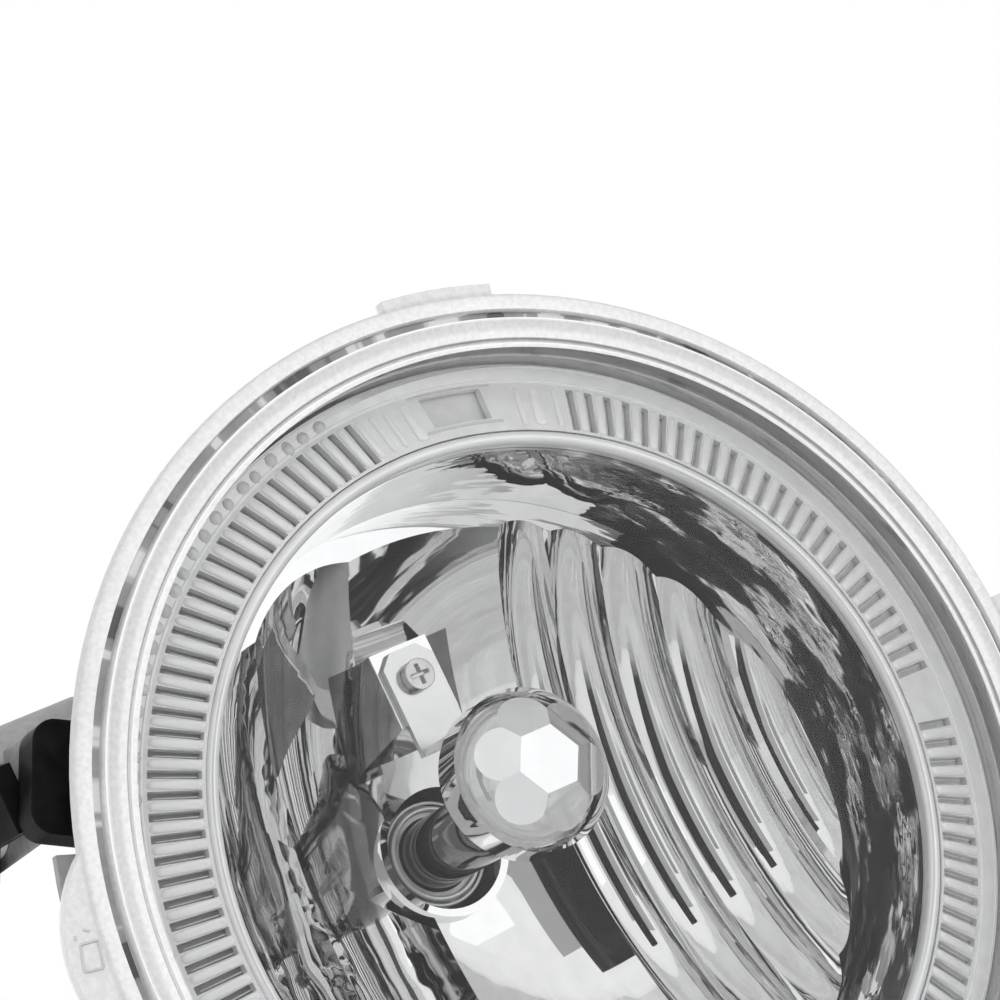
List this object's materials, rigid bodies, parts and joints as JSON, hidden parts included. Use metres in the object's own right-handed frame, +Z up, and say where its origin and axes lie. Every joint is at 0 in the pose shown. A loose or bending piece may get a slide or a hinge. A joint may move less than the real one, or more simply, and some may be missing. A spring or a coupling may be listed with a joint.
{
  "type": "fog light",
  "caption": "Round fog light with a clear lens, ribbed optic ring, fluted reflector and shielded bulb, tilting in a steel bracket with a screw adjuster.",
  "frame": {"origin": "centre of the lens's flat front face", "axes": "-Y is the way the light leaves, +Z is up, +X is to the right of someone facing the lamp"},
  "size_m": [0.125, 0.0801, 0.1331],
  "materials": {
    "clear_polycarbonate": "clear moulded polycarbonate with a grained rim",
    "black_rubber": "matt moulded rubber",
    "metallised_plastic": "vacuum metallised, satin",
    "bright_chrome": "vacuum metallised, bright",
    "plated_steel": "zinc plated",
    "bulb_glass": "clear bulb glass",
    "tungsten": "drawn tungsten wire",
    "dark_steel": "dark plated steel",
    "dark_plastic": "glass filled plastic",
    "brass_blades": "tinned brass",
    "cast_alloy": "as die cast",
    "white_plastic": "natural acetal",
    "black_painted_steel": "satin black paint"
  },
  "bodies": {
    "bracket": {"mount_bracket": "black_painted_steel", "stop_block_left": "black_rubber", "stop_block_right": "black_rubber", "pivot_bolts": "plated_steel", "pivot_washers": "white_plastic", "bracket_bushes": "black_rubber", "bracket_sleeves": "plated_steel"},
    "lamp": {"lens": "clear_polycarbonate", "lens_gasket": "black_rubber", "optic_ring": "metallised_plastic", "bead_ring": "bright_chrome", "reflector_wall": "bright_chrome", "reflector_bowl": "bright_chrome", "shield_cap": "bright_chrome", "shield_arm": "bright_chrome", "shield_screw": "plated_steel", "housing": "cast_alloy", "vent_cap": "dark_plastic", "adjuster_nut": "white_plastic"},
    "bulb": {"bulb_glass": "bulb_glass", "filament": "tungsten", "filament_leads": "plated_steel", "bulb_collar": "dark_steel", "bulb_base": "dark_plastic", "bulb_terminals": "brass_blades", "bulb_seal": "black_rubber"},
    "adjuster": {"adjuster_screw": "plated_steel"}
  },
  "joints": [
    {"name": "aim_tilt", "type": "hinge", "parent": "bracket", "child": "lamp", "pos_m": [0, 0.03, 0.03], "axis": [1, 0, 0], "range_deg": [-3, 3]},
    {"name": "adjuster_turn", "type": "hinge", "parent": "bracket", "child": "adjuster", "pos_m": [0, 0.03, -0.06], "axis": [0, 1, 0], "range_deg": [-850, 850]},
    {"name": "bulb_turn", "type": "hinge", "parent": "lamp", "child": "bulb", "pos_m": [0, 0.05, 0.0049], "axis": [0, 1, 0], "range_deg": [0, 45]}
  ],
  "couplings": [
    {"joint": "adjuster_turn", "follows": "aim_tilt", "ratio": 282.7}
  ]
}
